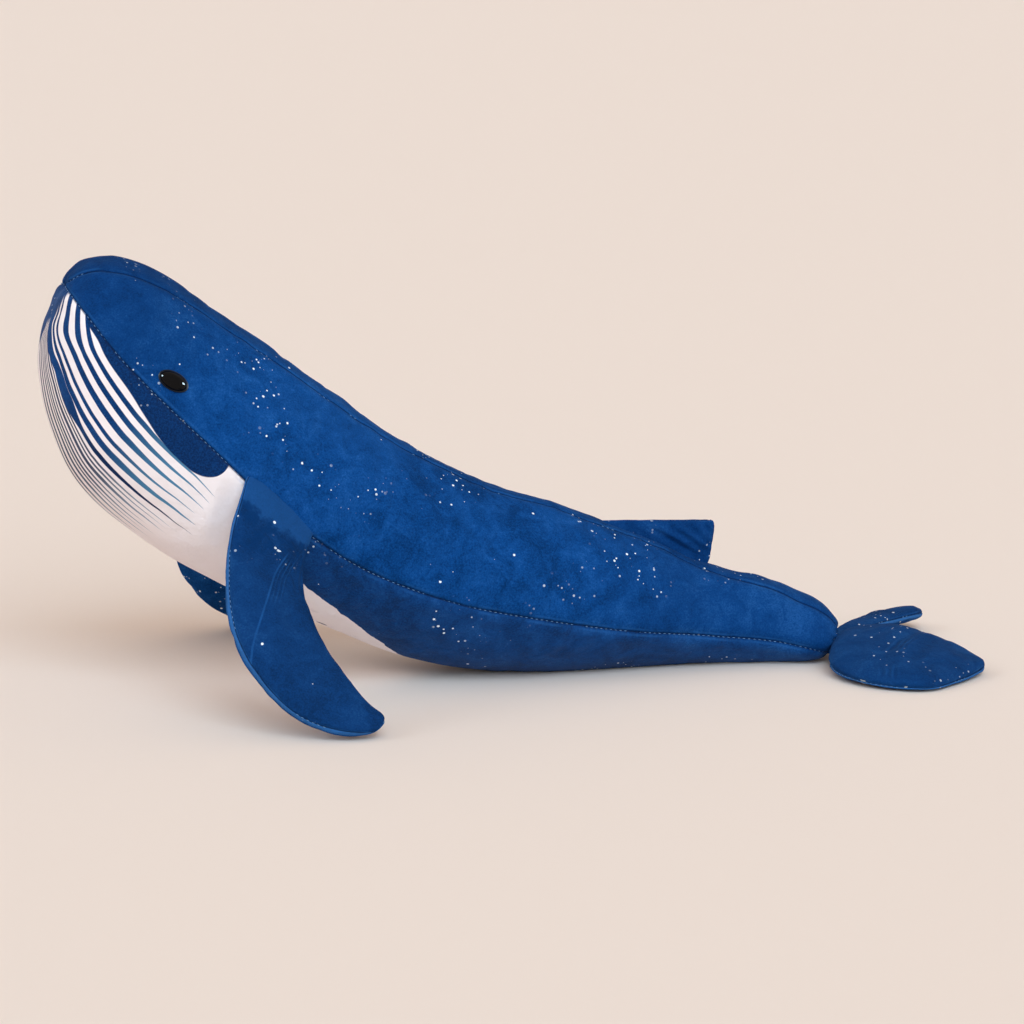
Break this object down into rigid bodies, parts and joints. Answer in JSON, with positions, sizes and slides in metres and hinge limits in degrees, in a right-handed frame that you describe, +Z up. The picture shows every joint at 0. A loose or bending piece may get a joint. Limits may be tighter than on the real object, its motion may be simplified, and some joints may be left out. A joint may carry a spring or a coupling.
{
  "type": "plush whale",
  "caption": "Stuffed toy whale of printed blue plush on its belly with its head raised; sewn-on flippers, dorsal fin and tail flukes bend at their seams, and glossy oval eyes are held by washers.",
  "frame": {"origin": "on the surface that the whale lies on, in the middle of its box", "axes": "+Z up, the tail towards +X, the head towards -X and the whale's left side towards -Y"},
  "size_m": [0.5351, 0.3002, 0.243],
  "materials": {
    "blue_plush": "short pile, mottled print",
    "printed_plush": "short pile, printed with pale throat stripes and a white belly",
    "stuffing": "loose polyester fibre",
    "eye_gloss": "polished black",
    "washer_nylon": "plain moulded"
  },
  "bodies": {
    "torso": {"left_side_panel": "blue_plush", "right_side_panel": "blue_plush", "back_gusset": "blue_plush", "underside_panel": "printed_plush", "torso_filling": "stuffing", "left_eye": "eye_gloss", "right_eye": "eye_gloss", "left_eye_washer": "washer_nylon", "right_eye_washer": "washer_nylon"},
    "left_flipper": {"left_flipper_outer_panel": "blue_plush", "left_flipper_inner_panel": "blue_plush", "left_flipper_filling": "stuffing"},
    "right_flipper": {"right_flipper_outer_panel": "blue_plush", "right_flipper_inner_panel": "blue_plush", "right_flipper_filling": "stuffing"},
    "dorsal_fin": {"dorsal_fin_left_panel": "blue_plush", "dorsal_fin_right_panel": "blue_plush", "dorsal_fin_filling": "stuffing"},
    "left_fluke": {"left_fluke_top_panel": "blue_plush", "left_fluke_bottom_panel": "blue_plush", "left_fluke_filling": "stuffing"},
    "right_fluke": {"right_fluke_top_panel": "blue_plush", "right_fluke_bottom_panel": "blue_plush", "right_fluke_filling": "stuffing"}
  },
  "joints": [
    {"name": "left_flipper_swing", "type": "hinge", "parent": "torso", "child": "left_flipper", "pos_m": [-0.14707, -0.062, 0.10994], "axis": [0.7127, 0.0369, -0.7005], "range_deg": [-75, 35], "stiffness_Nm_per_rad": 0.3},
    {"name": "right_flipper_swing", "type": "hinge", "parent": "torso", "child": "right_flipper", "pos_m": [-0.14707, 0.062, 0.10994], "axis": [-0.7127, 0.0369, 0.7005], "range_deg": [-75, 35], "stiffness_Nm_per_rad": 0.3},
    {"name": "dorsal_fin_fold", "type": "hinge", "parent": "torso", "child": "dorsal_fin", "pos_m": [0.08666, -0.00049, 0.07175], "axis": [0.9132, -0.0183, -0.4071], "range_deg": [-60, 60], "stiffness_Nm_per_rad": 0.02},
    {"name": "left_fluke_flap", "type": "hinge", "parent": "torso", "child": "left_fluke", "pos_m": [0.1935, -0.01211, 0.00875], "axis": [-0.0467, -0.9989, 0], "range_deg": [-40, 50], "stiffness_Nm_per_rad": 0.1},
    {"name": "right_fluke_flap", "type": "hinge", "parent": "torso", "child": "right_fluke", "pos_m": [0.1935, -0.01211, 0.00875], "axis": [-0.0467, -0.9989, 0], "range_deg": [-40, 50], "stiffness_Nm_per_rad": 0.1}
  ]
}
